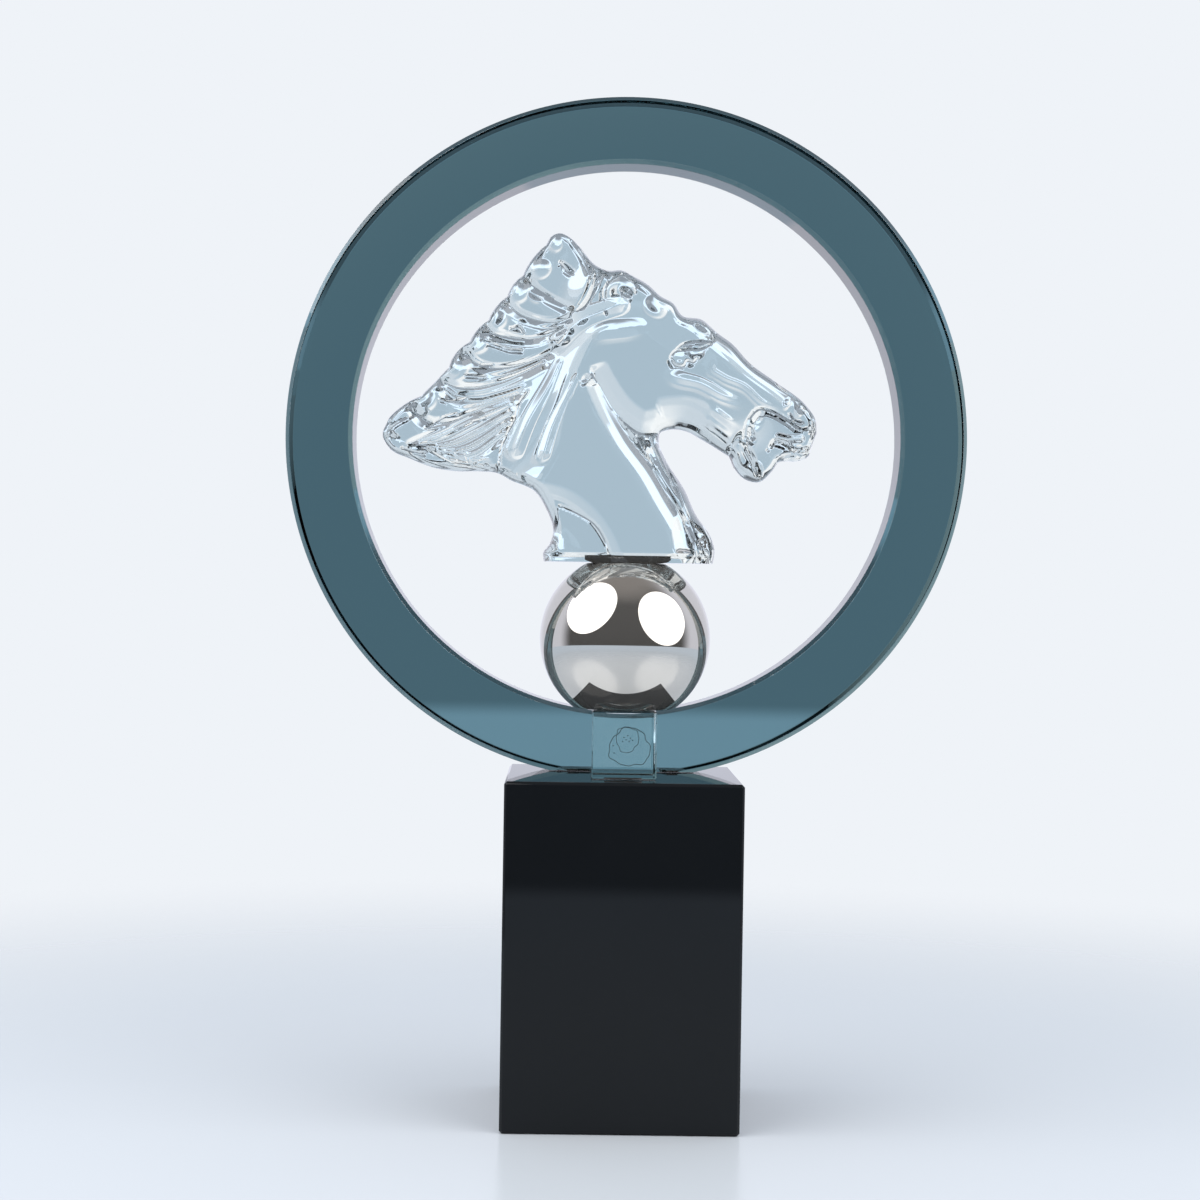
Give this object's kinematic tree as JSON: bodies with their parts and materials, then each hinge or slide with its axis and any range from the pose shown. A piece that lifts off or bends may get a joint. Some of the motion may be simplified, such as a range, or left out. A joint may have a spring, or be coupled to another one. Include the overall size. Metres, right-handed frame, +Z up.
{
  "type": "glass horse head trophy",
  "caption": "Glass horse head on a mirror ball and a small clear block, in front of an upright smoky glass ring on a black glass base block.",
  "frame": {"origin": "centre of the base block's underside, where the trophy stands", "axes": "+Z up, the horse's muzzle towards +X, the front with the ball and the clear block towards -Y"},
  "size_m": [0.245, 0.082, 0.3625],
  "materials": {
    "black_glass": "polished black glass with fine chamfers, opaque",
    "smoky_glass": "polished blue-grey glass, see-through, with polished chamfers",
    "clear_block_glass": "polished clear glass with a faint blue-green tint",
    "mirror_ball": "polished warm grey mirror",
    "clear_glass": "pressed clear glass with a faint blue-grey tint, fire-polished"
  },
  "bodies": {
    "root": {"base_block": "black_glass", "ring": "smoky_glass", "clear_block": "clear_block_glass", "ball": "mirror_ball", "horse_head": "clear_glass"}
  },
  "joints": []
}
